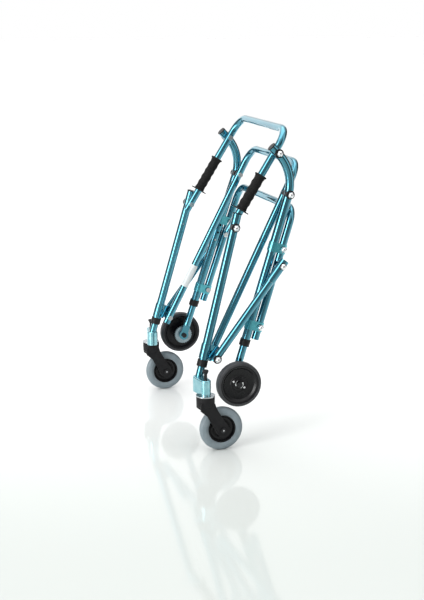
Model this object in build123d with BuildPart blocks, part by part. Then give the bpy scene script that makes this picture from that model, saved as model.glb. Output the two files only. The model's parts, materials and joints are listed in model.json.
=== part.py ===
"""Folding posterior walking frame, folded for storage.

Frame: +X is the user's right, +Y is forwards, +Z is up, millimetres. The origin is on the
floor, on the middle plane, under the middle of the folded frame's depth. Both side frames
lean in planes that splay outwards towards the floor, and every pivot axis runs along X.
"""
import os
from math import atan, cos, radians, sin

from build123d import *

os.makedirs("parts", exist_ok=True)
SIDES = ((-1, "left"), (1, "right"))

# ---------------------------------------------------------------- tubes and clearances
leg_radius = 12.7          # outer leg tubes
wall = 1.5                 # every tube
slide_gap = 0.1            # radial gap of a tube that slides in another
tube_radius = leg_radius - wall - slide_gap    # inner legs and every bent frame tube
brace_inner_radius = tube_radius - wall - slide_gap
running_gap = 0.05         # radial gap of a pin in a turning part
face_gap = 0.5             # gap between faces that pass each other
pivot_gap = 1.2            # gap between two tubes that cross at a pivot
lean_gap = 1.2             # gap between a flat face and a tube that leans away from it
seat_gap = 0.3             # bolt head to the leaning tube that it holds

# ---------------------------------------------------------------- overall layout
axle_y = 97.5              # front axle, forwards of the origin
front_wheel_radius = 62.5
rear_wheel_radius = 64.0
track_half = 301.0         # middle plane to wheel middle
stem_offset = 44.0         # leg foot to caster stem, across
handle_inset = 97.0        # handlebar arm inboard of the wheel middle
scissor_inset = 79.0       # scissor arm inboard of the wheel middle, at its front pivot
brace_tuck = 6.8           # brace tube inboard of the leg foot's outer side
trail = 45.0               # caster axis forwards of the front axle

# ---------------------------------------------------------------- the four pivots of a side
fold_pivot = Vector(0, axle_y - 61, 620)       # handlebar arm on the front leg
link_pivot = Vector(0, axle_y - 187, 822)      # handlebar arm on the rear leg
cross_pivot = Vector(0, axle_y - 219, 706)     # rear leg on the scissor frame
foot_pivot = Vector(0, axle_y + 5.5, 259)      # scissor frame and brace on the front bracket
front_lean = radians(15.05)                    # front leg, top backwards
rear_lean = radians(17.84)                     # rear leg, top backwards
rear_head_angle = radians(45)                  # rear leg's bent head, above its bend

# ---------------------------------------------------------------- legs
front_leg_above = 36.0     # front leg tube above the fold pivot
front_leg_bottom = 253.0   # height of the front leg tube's lower end
front_inner_top = 575.0    # height of the front inner leg's upper end
housing_top = 207.0
housing_bottom = 164.0
socket_depth = 12.0        # front inner leg in its housing
rear_bend_radius = 120.0
rear_head_above = 24.0     # rear leg tube past the link pivot
rear_leg_length = 424.0    # rear leg tube below the cross pivot
rear_hub_distance = 545.0  # rear axle below the cross pivot
rear_inner_start = 200.0   # rear inner leg's upper end below the cross pivot
collar_length = 20.0
collar_radius = 15.0
plug_rim = 3.0             # plug outside the tube's upper end
plug_depth = 10.0          # plug inside it
hole_pitch = 25.0
hole_radius = 3.5
front_hole_top = 555.0     # height of the front leg's first hole, where its button is
front_hole_count = 6
rear_holes_start = 170.0   # first hole of the rear leg below the cross pivot
rear_hole_count = 5
rear_button_hole = 2       # the rear button is two holes below the first

# ---------------------------------------------------------------- handlebar and grips
handle_front = 21.0        # arm in front of the fold pivot
handle_rise = 71.6         # crossbar past the link pivot
handle_bend = 50.0
grip_start = 50.0          # grip's lower end from the fold pivot
grip_length = 114.0
grip_radius = 15.0
grip_guard_radius = 25.0
grip_lip_radius = 18.0
guard_thickness = 3.0

# ---------------------------------------------------------------- scissor frame, crossbar
scissor_tail = 20.0        # scissor arm past its front pivot
scissor_rise = 92.0        # scissor crossbar past the cross pivot
scissor_bend = 50.0
scissor_gap = 2.2          # scissor arm to the rear leg's head, across
label_start = 110.0        # blank label on the right arm, from the front pivot
label_length = 74.0
label_thickness = 0.3
crossbar_gap = 3.2         # crossbar arm's tube to the rear leg's
crossbar_start = 34.0      # crossbar below the cross pivot
crossbar_end = 419.0       # arms' open ends below the cross pivot
crossbar_bend = 45.0
clamp_starts = (152.0, 381.0)
clamp_height = 27.0
clamp_wall = 2.0
clamp_pad = 1.2            # flat pad under the clamp's bolt head and nut

# ---------------------------------------------------------------- brace
brace_pivot_distance = 195.0   # brace's upper end below the cross pivot, on the crossbar arm
brace_tail = 12.0              # outer tube past its lower pivot
brace_outer_length = 262.0     # outer tube above its lower pivot
brace_inner_low = 12.0         # inner tube's lower end above the lower pivot
brace_inner_short = 14.0       # inner tube's upper end below the upper pivot
brace_head_radius = 13.5
brace_head_over = 18.0         # end bracket past the upper pivot

# ---------------------------------------------------------------- fasteners
bolt_radius = 4.0
bolt_head_radius = 7.5
bolt_head_height = 5.0
bolt_overlap = 1.0         # shank run into its head
washer_inset = 0.2         # washer's edge inside the leg tube's
washer_height = 3.3
nut_radius = 9.6
nut_height = 12.0

# ---------------------------------------------------------------- casters and wheels
stem_radius = 6.0
fork_top = 160.0
fork_head_height = 31.0
fork_head_radius = 27.0
fork_arm_gap = 3.0         # tyre side to fork arm
fork_arm_wall = 6.0
fork_arm_end_radius = 21.0
plate_thickness = 3.0
plate_gap = 0.6            # fork top to bearing plate
housing_leg_radius = 16.5
housing_stem_radius = 15.0
housing_round = 3.0        # housing's rounded upper edge
clamp_slot = 2.0           # slot that the clamp screw closes on the leg
stem_above = 18.0          # stem inside the housing
knob_pin_above = 26.0      # knob's pin, from the housing's underside
stem_in_fork = 21.7        # stem inside the fork head
axle_head = 3.5            # axle head outside the fork arm
knob_top = 236.0
knob_radius = 11.5
knob_head = 6.0
tyre_width = 28.0
rear_tyre_width = 30.0
front_rim_radius = 40.0
rear_rim_radius = 50.0
front_web = 6.0            # thickness of the rim's web
rear_web = 12.0
axle_radius = 5.0
hub_radius = 13.0
button_radius = 3.0

# ---------------------------------------------------------------- derived geometry
handle_half = track_half - handle_inset
leg_head_half = handle_half + tube_radius + pivot_gap + leg_radius
foot_half = track_half - stem_offset
brace_half = foot_half + leg_radius + tube_radius - brace_tuck
scissor_foot_half = track_half - scissor_inset
crossbar_offset = leg_radius + tube_radius + crossbar_gap
washer_radius = leg_radius - washer_inset
stem_y = axle_y + trail
handle_dir = (link_pivot - fold_pivot).normalized()
handle_link = (link_pivot - fold_pivot).length
scissor_dir = (cross_pivot - foot_pivot).normalized()
scissor_link = (cross_pivot - foot_pivot).length
front_down = Vector(0, sin(front_lean), -cos(front_lean))
rear_down = Vector(0, sin(rear_lean), -cos(rear_lean))
rear_back = Vector(0, -cos(rear_lean), -sin(rear_lean))
rear_hub = cross_pivot + rear_down * rear_hub_distance
front_splay = (foot_half - leg_head_half) / (fold_pivot.Z - housing_top)
rear_splay = (foot_half - leg_head_half) / (link_pivot.Z - rear_hub.Z)
scissor_head_half = leg_head_half - leg_radius - tube_radius - scissor_gap
brace_upper = cross_pivot + rear_down * brace_pivot_distance + rear_back * crossbar_offset
brace_dir = (brace_upper - foot_pivot).normalized()
brace_link = (brace_upper - foot_pivot).length


def outboard(side, point, half):
    """The point of a side's profile, moved out to a distance from the middle plane."""
    return Vector(side * half, point.Y, point.Z)


def front_half(height):
    """Distance from the middle plane to the front leg's axis at a height."""
    return leg_head_half + (fold_pivot.Z - height) * front_splay


def rear_half(height):
    """Distance from the middle plane to the rear leg's axis at a height."""
    return leg_head_half + (link_pivot.Z - height) * rear_splay


def front_axis(side, height):
    """The point of the front leg's axis at a height."""
    along = (fold_pivot.Z - height) / cos(front_lean)
    return outboard(side, fold_pivot + front_down * along, front_half(height))


def rear_axis(side, distance):
    """The point of the rear leg's axis at a distance below the cross pivot."""
    point = cross_pivot + rear_down * distance
    return outboard(side, point, rear_half(point.Z))


def front_unit(side):
    """The way the front inner leg slides out."""
    return (front_axis(side, 0) - front_axis(side, fold_pivot.Z)).normalized()


def rear_unit(side):
    """The way the rear inner leg slides out."""
    return (rear_axis(side, rear_hub_distance) - rear_axis(side, 0)).normalized()


def front_hole(side, number):
    """The leg axis at one of the front leg's adjusting holes."""
    return front_axis(side, front_hole_top) + front_unit(side) * (hole_pitch * number)


def rear_hole(side, number):
    """The leg axis at one of the rear leg's adjusting holes."""
    return rear_axis(side, rear_holes_start) + rear_unit(side) * (hole_pitch * number)


def scissor_half(distance):
    """Distance from the middle plane to the scissor arm, along it from its front pivot."""
    inward = (scissor_foot_half - scissor_head_half) / scissor_link
    return scissor_foot_half - distance * inward


def crossing(point, along, other, other_along):
    """Where two lines of the side profile meet."""
    span = other - point
    turn = along.Y * other_along.Z - along.Z * other_along.Y
    return point + along * ((span.Y * other_along.Z - span.Z * other_along.Y) / turn)


def rod(start, end, radius, bore=0.0, mode=Mode.ADD):
    """A round bar, or a tube with a bore, between two points."""
    with BuildSketch(Plane(origin=start, z_dir=end - start)) as section:
        Circle(radius)
        if bore > 0:
            Circle(bore, mode=Mode.SUBTRACT)
    extrude(section.sketch, amount=(end - start).length, mode=mode)


def pin(side, point, start, end, radius, bore=0.0, mode=Mode.ADD):
    """A round bar along X between two distances from the middle plane."""
    rod(outboard(side, point, start), outboard(side, point, end), radius, bore, mode)


def cap_nut(side, point, start):
    """A domed nut, its flat face towards the frame."""
    with BuildSketch(Plane.YZ.offset(side * start)) as hexagon:
        with Locations((point.Y, point.Z)):
            RegularPolygon(nut_radius, 6)
    extrude(hexagon.sketch, amount=side * nut_height * 0.5)
    middle = outboard(side, point, start + nut_height * 0.5)
    face = Plane(origin=middle, z_dir=(side, 0, 0))
    with BuildSketch(face) as base:
        Circle(nut_radius * 0.84)
    with BuildSketch(face.offset(nut_height * 0.3)) as shoulder:
        Circle(nut_radius * 0.7)
    with BuildSketch(face.offset(nut_height * 0.5)) as tip:
        Circle(nut_radius * 0.34)
    loft([base.sketch, shoulder.sketch, tip.sketch])


def side_outline(points):
    """The closed outline through points of the side profile."""
    return Polyline(*[(point.Y, point.Z) for point in points], close=True)


# ---------------------------------------------------------------- front legs
pivot_outer = leg_head_half + leg_radius
for side, word in SIDES:
    top = front_axis(side, fold_pivot.Z + front_leg_above)
    bottom = front_axis(side, front_leg_bottom)
    with BuildPart() as front_leg_tube:
        rod(top, bottom, leg_radius, leg_radius - wall)
        pin(side, fold_pivot, leg_head_half - 2 * leg_radius, pivot_outer + leg_radius,
            bolt_radius, mode=Mode.SUBTRACT)
        for number in range(front_hole_count):
            hole = front_hole(side, number)
            pin(side, hole, abs(hole.X) - 2 * leg_radius, abs(hole.X), hole_radius,
                mode=Mode.SUBTRACT)
    front_leg_tube.part.label = f"front_leg_tube_{word}"
    export_step(front_leg_tube.part, f"parts/front_leg_tube_{word}.step")

# plugs in the upper ends and guide collars under the lower ends
with BuildPart() as front_leg_ends:
    for side, word in SIDES:
        top = front_axis(side, fold_pivot.Z + front_leg_above)
        down = front_unit(side)
        rod(top, top - down * plug_rim, leg_radius)
        rod(top, top + down * plug_depth, leg_radius - wall)
        start = front_axis(side, front_leg_bottom)
        rod(start, start + down * collar_length, collar_radius, tube_radius + slide_gap)
front_leg_ends.part.label = "front_leg_ends"
export_step(front_leg_ends.part, "parts/front_leg_ends.step")

# the cast bracket: a sleeve round the leg and a web back to the foot pivot
bracket_top = 38.0         # web above the foot pivot, at the leg
bracket_rear_top = 28.0    # web above the foot pivot, at its rear corner
bracket_rear = 13.5        # rear corner behind the foot pivot
bracket_low = 8.0          # web below the foot pivot, at its lower corner
bracket_low_rear = 15.5    # lower corner in front of the foot pivot
boss_radius = 12.0
sleeve_wall = 2.0
sleeve_low = 2.0           # sleeve below the foot pivot
web_thickness = 18.0
web_step = 2.0             # boss face outside the web
foot_face = brace_half - tube_radius - face_gap
for side, word in SIDES:
    leg_top = front_axis(side, foot_pivot.Z + bracket_top)
    leg_low = front_axis(side, foot_pivot.Z - sleeve_low)
    web_outer = foot_face - web_step
    with BuildPart() as front_bracket:
        with BuildSketch(Plane.YZ.offset(side * (web_outer - web_thickness))) as web:
            with BuildLine():
                side_outline([
                    Vector(0, leg_top.Y, leg_top.Z),
                    foot_pivot + Vector(0, -bracket_rear, bracket_rear_top),
                    foot_pivot + Vector(0, bracket_low_rear, -bracket_low),
                    Vector(0, leg_low.Y, leg_low.Z),
                ])
            make_face()
            with Locations((foot_pivot.Y, foot_pivot.Z)):
                Circle(boss_radius)
        extrude(amount=side * web_thickness)
        pin(side, foot_pivot, scissor_foot_half + tube_radius + lean_gap, foot_face,
            boss_radius)
        rod(leg_top, leg_low, leg_radius + sleeve_wall)
        rod(leg_top + (leg_top - leg_low), leg_low - (leg_top - leg_low), leg_radius,
            mode=Mode.SUBTRACT)
        pin(side, foot_pivot, leg_head_half - 2 * leg_radius, brace_half, bolt_radius,
            mode=Mode.SUBTRACT)
    front_bracket.part.label = f"front_bracket_{word}"
    export_step(front_bracket.part, f"parts/front_bracket_{word}.step")

# ---------------------------------------------------------------- bolts of the front legs
with BuildPart() as front_pivot_bolts:
    for side, word in SIDES:
        arm_inner = handle_half - tube_radius - face_gap
        pin(side, fold_pivot, arm_inner - bolt_head_height, arm_inner, bolt_head_radius)
        pin(side, fold_pivot, arm_inner - bolt_overlap, pivot_outer + washer_height,
            bolt_radius)
        arm_inner = scissor_foot_half - tube_radius - face_gap
        pin(side, foot_pivot, arm_inner - bolt_head_height, arm_inner, bolt_head_radius)
        pin(side, foot_pivot, arm_inner - bolt_overlap, foot_face, bolt_radius)
front_pivot_bolts.part.label = "front_pivot_bolts"
export_step(front_pivot_bolts.part, "parts/front_pivot_bolts.step")

with BuildPart() as front_pivot_washers:
    for side, word in SIDES:
        pin(side, fold_pivot, pivot_outer - leg_radius, pivot_outer + washer_height,
            washer_radius, bolt_radius)
        leg_top = front_axis(side, fold_pivot.Z + front_leg_above)
        rod(leg_top, front_axis(side, front_leg_bottom), leg_radius, mode=Mode.SUBTRACT)
front_pivot_washers.part.label = "front_pivot_washers"
export_step(front_pivot_washers.part, "parts/front_pivot_washers.step")

with BuildPart() as front_cap_nuts:
    for side, word in SIDES:
        cap_nut(side, fold_pivot, pivot_outer + washer_height)
front_cap_nuts.part.label = "front_cap_nuts"
export_step(front_cap_nuts.part, "parts/front_cap_nuts.step")

# ---------------------------------------------------------------- front inner legs
socket_z = housing_top - socket_depth
for side, word in SIDES:
    top = front_axis(side, front_inner_top)
    with BuildPart() as front_inner_leg:
        rod(top, front_axis(side, socket_z), tube_radius, tube_radius - wall)
        # the lower end is cut level, flat on the socket's floor
        with BuildSketch(Plane.XY.offset(socket_z)) as floor_cut:
            with Locations((front_axis(side, socket_z).X, front_axis(side, socket_z).Y)):
                Rectangle(6 * tube_radius, 6 * tube_radius)
        extrude(floor_cut.sketch, amount=-socket_depth, mode=Mode.SUBTRACT)
        hole = front_hole(side, 0)
        pin(side, hole, abs(hole.X) - 2 * tube_radius, abs(hole.X),
            button_radius + running_gap, mode=Mode.SUBTRACT)
    front_inner_leg.part.label = f"front_inner_leg_{word}"
    export_step(front_inner_leg.part, f"parts/front_inner_leg_{word}.step")

for side, word in SIDES:
    leg_seat = front_axis(side, housing_top - socket_depth / 2)
    stem_seat = Vector(side * track_half, stem_y, 0)
    with BuildPart() as caster_housing:
        with BuildSketch(Plane.XY.offset(housing_bottom)) as outline:
            with Locations((leg_seat.X, leg_seat.Y)):
                Circle(housing_leg_radius)
            with Locations((stem_seat.X, stem_seat.Y)):
                Circle(housing_stem_radius)
            make_hull()
        extrude(amount=housing_top - housing_bottom)
        fillet(caster_housing.faces().sort_by(Axis.Z)[-1].edges(), housing_round)
        rod(front_axis(side, socket_z), front_axis(side, housing_top + housing_leg_radius),
            tube_radius, mode=Mode.SUBTRACT)
        rod(Vector(stem_seat.X, stem_seat.Y, housing_bottom),
            Vector(stem_seat.X, stem_seat.Y, housing_top), stem_radius + running_gap,
            mode=Mode.SUBTRACT)
        with BuildSketch(Plane.XY.offset(housing_bottom)) as slot:
            with Locations((leg_seat.X - side * housing_leg_radius, leg_seat.Y)):
                Rectangle(housing_leg_radius, clamp_slot)
        extrude(amount=housing_top - housing_bottom, mode=Mode.SUBTRACT)
    caster_housing.part.label = f"caster_housing_{word}"
    export_step(caster_housing.part, f"parts/caster_housing_{word}.step")

# ---------------------------------------------------------------- casters
    foot = Vector(stem_seat.X, stem_seat.Y, 0)
    with BuildPart() as swivel_knob:
        pin_bottom = housing_bottom + knob_pin_above
        rod(foot + Vector(0, 0, pin_bottom), foot + Vector(0, 0, knob_top - knob_head / 2),
            stem_radius)
        with BuildSketch(Plane.XY.offset(knob_top - knob_head)):
            with Locations((foot.X, foot.Y)):
                Circle(knob_radius)
        extrude(amount=knob_head)
        fillet(swivel_knob.faces().sort_by(Axis.Z)[-1].edges(), knob_head * 0.4)
    swivel_knob.part.label = f"swivel_knob_{word}"
    export_step(swivel_knob.part, f"parts/swivel_knob_{word}.step")

    with BuildPart() as bearing_plate:
        rod(foot + Vector(0, 0, housing_bottom - plate_thickness),
            foot + Vector(0, 0, housing_bottom), fork_head_radius, stem_radius + running_gap)
    bearing_plate.part.label = f"bearing_plate_{word}"
    export_step(bearing_plate.part, f"parts/bearing_plate_{word}.step")

    stem_low = fork_top - stem_in_fork
    with BuildPart() as caster_stem:
        rod(foot + Vector(0, 0, stem_low), foot + Vector(0, 0, housing_bottom + stem_above),
            stem_radius)
    caster_stem.part.label = f"caster_stem_{word}"
    export_step(caster_stem.part, f"parts/caster_stem_{word}.step")

    arm_inner = tyre_width / 2 + fork_arm_gap
    arm_outer = arm_inner + fork_arm_wall
    head_low = fork_top - fork_head_height
    with BuildPart() as caster_fork:
        with BuildSketch(Plane.XY.offset(head_low)):
            with Locations((foot.X, foot.Y)):
                Circle(fork_head_radius)
        extrude(amount=fork_head_height)
        fillet(caster_fork.faces().sort_by(Axis.Z)[-1].edges(), 2)
        with BuildSketch(Plane.YZ.offset(side * (track_half - side * arm_outer))) as arm:
            with BuildLine():
                Polyline(
                    (stem_y + fork_head_radius, head_low + 6),
                    (stem_y + fork_head_radius - 3, head_low),
                    (stem_y + 9, front_wheel_radius + 49),
                    (axle_y + 40, front_wheel_radius + 33),
                    (axle_y + fork_arm_end_radius, front_wheel_radius - 2),
                    (axle_y, front_wheel_radius),
                    (axle_y - fork_arm_end_radius + 2, front_wheel_radius + 9),
                    (axle_y + 7, front_wheel_radius + 55),
                    (stem_y - fork_head_radius + 1, head_low + 2),
                    (stem_y - fork_head_radius, head_low + 6),
                    close=True,
                )
            make_face()
            with Locations((axle_y, front_wheel_radius)):
                Circle(fork_arm_end_radius)
        extrude(amount=2 * arm_outer)
        # the space between the two arms, for the wheel
        with BuildSketch(Plane.YZ.offset(side * (track_half - side * arm_inner))) as space:
            with Locations((axle_y, front_wheel_radius)):
                Circle(front_wheel_radius + 4)
                Rectangle(3 * front_wheel_radius, 3 * front_wheel_radius,
                          align=(Align.CENTER, Align.MAX))
            with Locations((stem_y, head_low - fork_head_radius)):
                Rectangle(3 * fork_head_radius, 2 * fork_head_radius)
        extrude(amount=2 * arm_inner, mode=Mode.SUBTRACT)
        rod(foot + Vector(0, 0, stem_low), foot + Vector(0, 0, fork_top), stem_radius,
            mode=Mode.SUBTRACT)
        axle = Vector(0, axle_y, front_wheel_radius)
        pin(side, axle, track_half - 2 * arm_outer, track_half + 2 * arm_outer, axle_radius,
            mode=Mode.SUBTRACT)
    caster_fork.part.label = f"caster_fork_{word}"
    export_step(caster_fork.part, f"parts/caster_fork_{word}.step")

    with BuildPart() as front_axle:
        pin(side, axle, track_half - arm_outer, track_half + arm_outer, axle_radius)
        for end in (-1, 1):
            face = track_half + end * arm_outer
            pin(side, axle, face, face + end * axle_head, axle_radius * 1.5)
    front_axle.part.label = f"front_axle_{word}"
    export_step(front_axle.part, f"parts/front_axle_{word}.step")


def wheel_profile(points):
    """A wheel's half section, distance from the axle against place along the axle."""
    with BuildSketch(Plane.XY) as section:
        with BuildLine():
            Polyline(*points, close=True)
        make_face()
    return section.sketch


def turned(side, centre, profile):
    """Turn a half section, drawn as (radius, across), about an axle along X."""
    middle = outboard(side, centre, track_half)
    drawn = Plane(origin=middle, x_dir=(0, 0, 1), z_dir=(0, side, 0))
    revolve(drawn * profile, axis=Axis(middle, (1, 0, 0)))


# ---------------------------------------------------------------- wheels
def rim_section(rim_radius, width, bore, web):
    """Hub, web and rim flange."""
    half = width / 2
    seat = half - 3
    return wheel_profile([
        (bore, -half), (hub_radius, -half), (hub_radius + 2, -web / 2),
        (rim_radius - 6, -web / 2), (rim_radius - 4, -seat), (rim_radius, -seat),
        (rim_radius, seat), (rim_radius - 4, seat), (rim_radius - 6, web / 2),
        (hub_radius + 2, web / 2), (hub_radius, half - 5), (bore, half - 5),
    ])


def tyre_section(radius, rim_radius, width, crown):
    """A solid tyre: flat seat, straight sides and a tread crowned by an arc."""
    half = width / 2
    with BuildSketch(Plane.XY) as section:
        with BuildLine():
            Polyline((radius - crown, -half), (rim_radius, -half + 2),
                     (rim_radius, half - 2), (radius - crown, half))
            ThreePointArc((radius - crown, half), (radius, 0), (radius - crown, -half))
        make_face()
    return section.sketch


front_axle_point = Vector(0, axle_y, front_wheel_radius)
for side, word in SIDES:
    with BuildPart() as front_rim:
        turned(side, front_axle_point,
               rim_section(front_rim_radius, tyre_width, axle_radius + running_gap,
                           front_web))
    front_rim.part.label = f"front_rim_{word}"
    export_step(front_rim.part, f"parts/front_rim_{word}.step")

    with BuildPart() as front_tyre:
        turned(side, front_axle_point,
               tyre_section(front_wheel_radius, front_rim_radius, tyre_width, 6))
    front_tyre.part.label = f"front_tyre_{word}"
    export_step(front_tyre.part, f"parts/front_tyre_{word}.step")

    with BuildPart() as rear_rim:
        turned(side, rear_hub,
               rim_section(rear_rim_radius, rear_tyre_width, axle_radius + running_gap,
                           rear_web))
    rear_rim.part.label = f"rear_rim_{word}"
    export_step(rear_rim.part, f"parts/rear_rim_{word}.step")

    with BuildPart() as rear_tyre:
        turned(side, rear_hub,
               tyre_section(rear_wheel_radius, rear_rim_radius, rear_tyre_width, 3))
    rear_tyre.part.label = f"rear_tyre_{word}"
    export_step(rear_tyre.part, f"parts/rear_tyre_{word}.step")

# ---------------------------------------------------------------- handlebar
handle_plane = Plane(origin=fold_pivot, x_dir=(1, 0, 0),
                     z_dir=Vector(1, 0, 0).cross(handle_dir))
crossbar_distance = handle_link + handle_rise
with BuildPart() as handlebar_tube:
    with BuildLine(handle_plane) as path:
        FilletPolyline((handle_half, -handle_front), (handle_half, crossbar_distance),
                       (-handle_half, crossbar_distance), (-handle_half, -handle_front),
                       radius=handle_bend)
    with BuildSketch(Plane(origin=path.line @ 0, z_dir=path.line % 0)):
        Circle(tube_radius)
        Circle(tube_radius - wall, mode=Mode.SUBTRACT)
    sweep()
    for side, word in SIDES:
        for pivot in (fold_pivot, link_pivot):
            pin(side, pivot, handle_half - 2 * tube_radius, handle_half + 2 * tube_radius,
                bolt_radius + running_gap, mode=Mode.SUBTRACT)
handlebar_tube.part.label = "handlebar_tube"
export_step(handlebar_tube.part, "parts/handlebar_tube.step")

for side, word in SIDES:
    low = outboard(side, fold_pivot + handle_dir * grip_start, handle_half)
    high = low + handle_dir * grip_length
    with BuildPart() as grip:
        rod(low, high, grip_radius, tube_radius)
        rod(low, low + handle_dir * guard_thickness, grip_guard_radius, tube_radius)
        rod(high - handle_dir * guard_thickness, high, grip_lip_radius, tube_radius)
    grip.part.label = f"grip_{word}"
    export_step(grip.part, f"parts/grip_{word}.step")

# ---------------------------------------------------------------- rear legs
head_up = Vector(0, sin(rear_head_angle), cos(rear_head_angle))
rear_corner = crossing(link_pivot, head_up, cross_pivot, rear_down)
rear_tilt = atan(rear_splay)


def in_rear_plane(point):
    """A side profile point, in the rear leg's splayed plane."""
    return (point.Y - link_pivot.Y, (point.Z - link_pivot.Z) / cos(rear_tilt))


head_end = link_pivot + head_up * rear_head_above
leg_end = cross_pivot + rear_down * rear_leg_length


def rear_leg_bar(side, bore=0.0):
    """The rear leg's bent bar, or a tube with a bore."""
    plane = Plane(origin=outboard(side, link_pivot, leg_head_half), x_dir=(0, 1, 0),
                  z_dir=(cos(rear_tilt), 0, side * sin(rear_tilt)))
    with BuildPart() as bar:
        with BuildLine(plane) as path:
            FilletPolyline(in_rear_plane(head_end), in_rear_plane(rear_corner),
                           in_rear_plane(leg_end), radius=rear_bend_radius)
        with BuildSketch(Plane(origin=path.line @ 0, z_dir=path.line % 0)):
            Circle(leg_radius)
            if bore > 0:
                Circle(bore, mode=Mode.SUBTRACT)
        sweep()
    return bar.part


for side, word in SIDES:
    bent_tube = rear_leg_bar(side, leg_radius - wall)
    with BuildPart() as rear_leg_tube:
        add(bent_tube)
        for pivot in (link_pivot, cross_pivot):
            half = rear_half(pivot.Z)
            pin(side, pivot, half - 2 * leg_radius, half + 2 * leg_radius, bolt_radius,
                mode=Mode.SUBTRACT)
        for number in range(rear_hole_count):
            hole = rear_hole(side, number)
            pin(side, hole, abs(hole.X) - 2 * leg_radius, abs(hole.X), hole_radius,
                mode=Mode.SUBTRACT)
    rear_leg_tube.part.label = f"rear_leg_tube_{word}"
    export_step(rear_leg_tube.part, f"parts/rear_leg_tube_{word}.step")

with BuildPart() as rear_leg_caps:
    for side, word in SIDES:
        head_axis = Vector(side * -sin(rear_tilt) * head_up.Z, head_up.Y,
                           head_up.Z).normalized()
        end = outboard(side, head_end, rear_half(head_end.Z))
        rod(end, end + head_axis * plug_rim, leg_radius)
        rod(end, end - head_axis * plug_depth, leg_radius - wall - running_gap)
rear_leg_caps.part.label = "rear_leg_caps"
export_step(rear_leg_caps.part, "parts/rear_leg_caps.step")

with BuildPart() as rear_leg_collars:
    for side, word in SIDES:
        start = rear_axis(side, rear_leg_length)
        rod(start, start + rear_unit(side) * collar_length, collar_radius,
            tube_radius + slide_gap)
rear_leg_collars.part.label = "rear_leg_collars"
export_step(rear_leg_collars.part, "parts/rear_leg_collars.step")

# ---------------------------------------------------------------- rear crossbar and clamps
bar_origin = cross_pivot + rear_back * crossbar_offset
bar_plane = Plane(origin=bar_origin, x_dir=(1, 0, 0),
                  z_dir=Vector(1, 0, 0).cross(rear_down * -1))


def bar_half(distance):
    """Distance from the middle plane to the crossbar's arm, level with the rear leg."""
    return rear_half((cross_pivot + rear_down * distance).Z)


with BuildPart() as rear_crossbar:
    with BuildLine(bar_plane) as path:
        FilletPolyline((bar_half(crossbar_end), -crossbar_end),
                       (bar_half(crossbar_start), -crossbar_start),
                       (-bar_half(crossbar_start), -crossbar_start),
                       (-bar_half(crossbar_end), -crossbar_end), radius=crossbar_bend)
    with BuildSketch(Plane(origin=path.line @ 0, z_dir=path.line % 0)):
        Circle(tube_radius)
        Circle(tube_radius - wall, mode=Mode.SUBTRACT)
    sweep()
    for side, word in SIDES:
        for distance in clamp_starts:
            bolt = bar_origin + rear_down * distance
            pin(side, bolt, bar_half(distance) - 2 * tube_radius,
                bar_half(distance) + 2 * tube_radius, bolt_radius, mode=Mode.SUBTRACT)
        half = bar_half(brace_pivot_distance)
        pin(side, brace_upper, half - 2 * tube_radius, half + 2 * tube_radius,
            bolt_radius + running_gap, mode=Mode.SUBTRACT)
rear_crossbar.part.label = "rear_crossbar"
export_step(rear_crossbar.part, "parts/rear_crossbar.step")

clamp_grip = tube_radius + clamp_wall + clamp_pad
with BuildPart() as tube_clamps:
    for side, word in SIDES:
        for distance in clamp_starts:
            upper = rear_axis(side, distance - clamp_height / 2)
            lower = rear_axis(side, distance + clamp_height / 2)
            along = (lower - upper).normalized()
            strap_plane = Plane(origin=upper, x_dir=rear_back, z_dir=along)
            with BuildSketch(strap_plane) as strap:
                Circle(leg_radius + clamp_wall)
                with Locations((crossbar_offset, 0)):
                    Circle(tube_radius + clamp_wall)
                make_hull()
                Circle(leg_radius, mode=Mode.SUBTRACT)
                with Locations((crossbar_offset, 0)):
                    Circle(tube_radius, mode=Mode.SUBTRACT)
            extrude(strap.sketch, amount=(lower - upper).length)
            bolt = bar_origin + rear_down * distance
            half = bar_half(distance)
            pin(side, bolt, half - clamp_grip, half + clamp_grip, nut_radius)
            rod(rear_axis(side, distance - clamp_height), rear_axis(side, distance + clamp_height),
                leg_radius, mode=Mode.SUBTRACT)
            rod(outboard(side, bar_origin + rear_down * (distance - clamp_height),
                         bar_half(distance - clamp_height)),
                outboard(side, bar_origin + rear_down * (distance + clamp_height),
                         bar_half(distance + clamp_height)),
                tube_radius, mode=Mode.SUBTRACT)
            pin(side, bolt, half - 2 * tube_radius, half + 2 * tube_radius, bolt_radius,
                mode=Mode.SUBTRACT)
tube_clamps.part.label = "tube_clamps"
export_step(tube_clamps.part, "parts/tube_clamps.step")

# ---------------------------------------------------------------- bolts of the rear frame
cross_half = rear_half(cross_pivot.Z)
with BuildPart() as rear_bolts:
    for side, word in SIDES:
        start = handle_half - tube_radius - face_gap
        pin(side, link_pivot, start - bolt_head_height, start, bolt_head_radius)
        pin(side, link_pivot, start - bolt_overlap,
            leg_head_half + leg_radius + washer_height, bolt_radius)
        # the bolt at the scissor frame stops short of it: that pivot is the open one
        start = scissor_half(scissor_link) + tube_radius + lean_gap
        pin(side, cross_pivot, start, cross_half + leg_radius + washer_height, bolt_radius)
        for distance in clamp_starts:
            bolt = bar_origin + rear_down * distance
            half = bar_half(distance)
            start = half - clamp_grip
            pin(side, bolt, start - bolt_head_height, start, bolt_head_radius)
            pin(side, bolt, start - bolt_overlap, half + clamp_grip, bolt_radius)
rear_bolts.part.label = "rear_bolts"
export_step(rear_bolts.part, "parts/rear_bolts.step")

with BuildPart() as rear_cap_nuts:
    for side, word in SIDES:
        cap_nut(side, link_pivot, leg_head_half + leg_radius + washer_height)
        cap_nut(side, cross_pivot, cross_half + leg_radius + washer_height)
        for distance in clamp_starts:
            bolt = bar_origin + rear_down * distance
            cap_nut(side, bolt, bar_half(distance) + clamp_grip)
rear_cap_nuts.part.label = "rear_cap_nuts"
export_step(rear_cap_nuts.part, "parts/rear_cap_nuts.step")

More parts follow.
